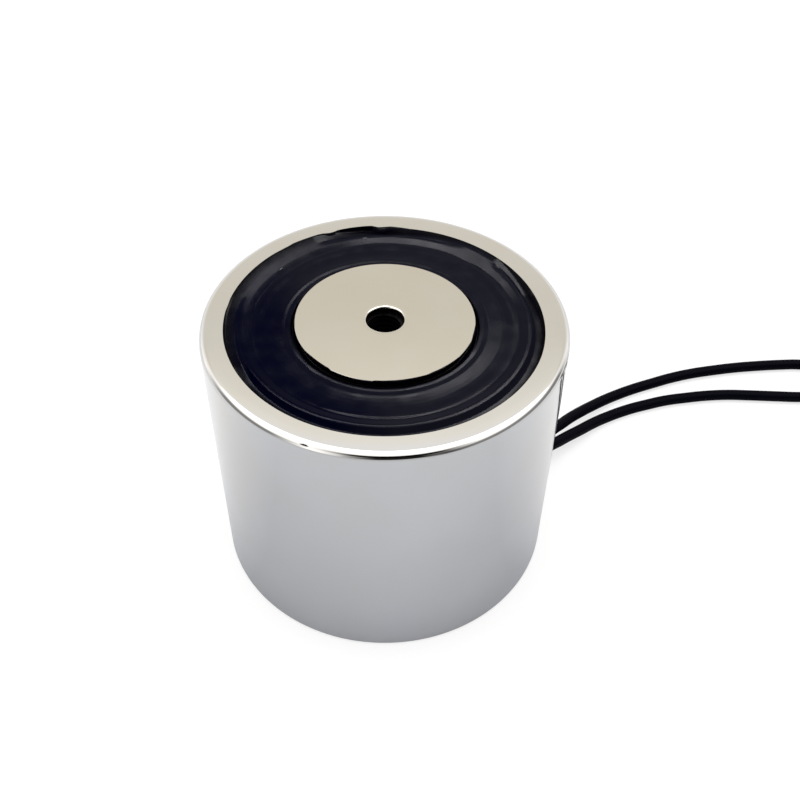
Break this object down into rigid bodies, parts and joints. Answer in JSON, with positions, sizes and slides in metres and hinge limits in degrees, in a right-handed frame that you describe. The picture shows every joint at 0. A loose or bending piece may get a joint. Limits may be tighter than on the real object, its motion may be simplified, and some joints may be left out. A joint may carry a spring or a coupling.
{
  "type": "holding electromagnet",
  "caption": "Round pot electromagnet with a plated steel cup and centre pole, a potted coil, a threaded fixing hole and flying leads, for holding steel against its flat face.",
  "frame": {"origin": "centre of the mounting face, which the magnet stands on", "axes": "+Z along the axis of the pot, out of the pole face; +X the way the leads leave the wall"},
  "size_m": [0.1799, 0.06, 0.049],
  "materials": {
    "nickel_cup": "bright nickel plated, turned",
    "nickel_core": "bright nickel plated, ground face",
    "nylon": "moulded",
    "copper": "enamelled wire",
    "polyester_tape": "film",
    "tinned_copper": "tinned",
    "sleeve": "varnished woven sleeve",
    "black_epoxy": "cast, glossy",
    "black_pvc": "extruded, satin",
    "tie": "extruded, satin"
  },
  "bodies": {
    "root": {"housing_cup": "nickel_cup", "pole_core": "nickel_core", "bobbin": "nylon", "coil_winding": "copper", "coil_tape": "polyester_tape", "start_tail": "copper", "finish_tail": "copper", "start_splice": "tinned_copper", "finish_splice": "tinned_copper", "start_sleeve": "sleeve", "finish_sleeve": "sleeve", "epoxy_potting": "black_epoxy", "start_lead": "black_pvc", "finish_lead": "black_pvc", "start_lead_end": "black_pvc", "finish_lead_end": "black_pvc", "start_lead_tip": "tinned_copper", "finish_lead_tip": "tinned_copper", "lead_coil": "black_pvc", "lead_tie": "tie"}
  },
  "joints": []
}
